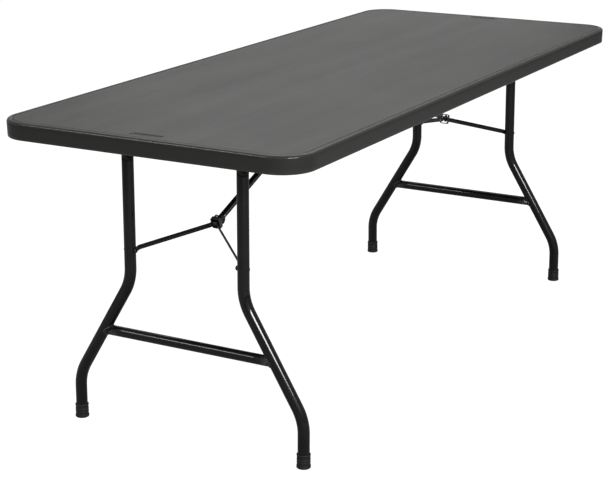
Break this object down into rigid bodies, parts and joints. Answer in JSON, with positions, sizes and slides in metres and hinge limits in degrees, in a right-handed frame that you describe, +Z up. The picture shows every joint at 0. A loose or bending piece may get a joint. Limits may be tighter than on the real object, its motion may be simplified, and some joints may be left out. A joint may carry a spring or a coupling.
{
  "type": "folding table",
  "caption": "Rectangular blow-moulded folding table on two wishbone tube leg frames with V-shaped knee braces that fold flat under the top.",
  "frame": {"origin": "on the floor under the middle of the tabletop, with the legs open", "axes": "+X along the table's length, +Y across its width, +Z up"},
  "size_m": [1.829, 0.762, 0.737],
  "materials": {
    "top_plastic": "fine-textured charcoal blow-moulded polyethylene",
    "black_steel": "semi-gloss black powder coat on steel",
    "foot_plastic": "matte black moulded plastic",
    "black_rivet": "black coated steel",
    "zinc_steel": "bright zinc plate",
    "nylon": "natural nylon"
  },
  "bodies": {
    "top": {"tabletop": "top_plastic", "front_rail": "black_steel", "back_rail": "black_steel", "rail_screws": "zinc_steel", "left_strut_bracket": "black_steel", "left_strut_pin": "black_rivet", "left_bracket_screws": "zinc_steel", "left_hangers": "black_steel", "left_bushes": "nylon", "left_hanger_screws": "zinc_steel", "right_strut_bracket": "black_steel", "right_strut_pin": "black_rivet", "right_bracket_screws": "zinc_steel", "right_hangers": "black_steel", "right_bushes": "nylon", "right_hanger_screws": "zinc_steel"},
    "left_legs": {"left_front_leg": "black_steel", "left_back_leg": "black_steel", "left_stretcher": "black_steel", "left_pivot_tube": "black_steel", "left_front_foot": "foot_plastic", "left_back_foot": "foot_plastic", "left_leg_rivets": "black_rivet"},
    "left_brace_strut": {"left_strut": "black_steel"},
    "left_brace_arms": {"left_front_arm": "black_steel", "left_back_arm": "black_steel", "left_arm_rivets": "black_rivet", "left_knee_pin": "zinc_steel", "left_knee_washers": "nylon"},
    "left_ring": {"left_lock_ring": "black_steel"},
    "right_legs": {"right_front_leg": "black_steel", "right_back_leg": "black_steel", "right_stretcher": "black_steel", "right_pivot_tube": "black_steel", "right_front_foot": "foot_plastic", "right_back_foot": "foot_plastic", "right_leg_rivets": "black_rivet"},
    "right_brace_strut": {"right_strut": "black_steel"},
    "right_brace_arms": {"right_front_arm": "black_steel", "right_back_arm": "black_steel", "right_arm_rivets": "black_rivet", "right_knee_pin": "zinc_steel", "right_knee_washers": "nylon"},
    "right_ring": {"right_lock_ring": "black_steel"}
  },
  "joints": [
    {"name": "left_fold", "type": "hinge", "parent": "top", "child": "left_legs", "pos_m": [-0.741, 0, 0.677], "axis": [0, -1, 0], "range_deg": [0, 90.9]},
    {"name": "left_strut_pivot", "type": "hinge", "parent": "top", "child": "left_brace_strut", "pos_m": [-0.065, 0, 0.698], "axis": [0, -1, 0], "range_deg": [-21.54, 0]},
    {"name": "left_knee", "type": "hinge", "parent": "left_brace_strut", "child": "left_brace_arms", "pos_m": [-0.60378, 0, 0.48559], "axis": [0, -1, 0], "range_deg": [0, 172.06]},
    {"name": "left_ring_slide", "type": "slide", "parent": "left_brace_strut", "child": "left_ring", "axis": [0.9303, 0, 0.3668], "range_m": [0, 0.0572]},
    {"name": "right_fold", "type": "hinge", "parent": "top", "child": "right_legs", "pos_m": [0.741, 0, 0.677], "axis": [0, 1, 0], "range_deg": [0, 90.9]},
    {"name": "right_strut_pivot", "type": "hinge", "parent": "top", "child": "right_brace_strut", "pos_m": [0.065, 0, 0.698], "axis": [0, 1, 0], "range_deg": [-21.54, 0]},
    {"name": "right_knee", "type": "hinge", "parent": "right_brace_strut", "child": "right_brace_arms", "pos_m": [0.60378, 0, 0.48559], "axis": [0, 1, 0], "range_deg": [0, 172.06]},
    {"name": "right_ring_slide", "type": "slide", "parent": "right_brace_strut", "child": "right_ring", "axis": [-0.9303, 0, 0.3668], "range_m": [0, 0.0572]}
  ],
  "couplings": [
    {"joint": "left_strut_pivot", "follows": "left_fold", "ratio": -0.23671},
    {"joint": "left_knee", "follows": "left_fold", "ratio": 1.8926},
    {"joint": "left_ring_slide", "follows": "left_fold", "m_per_rad": 0.036},
    {"joint": "right_strut_pivot", "follows": "right_fold", "ratio": -0.23671},
    {"joint": "right_knee", "follows": "right_fold", "ratio": 1.8926},
    {"joint": "right_ring_slide", "follows": "right_fold", "m_per_rad": 0.036}
  ]
}
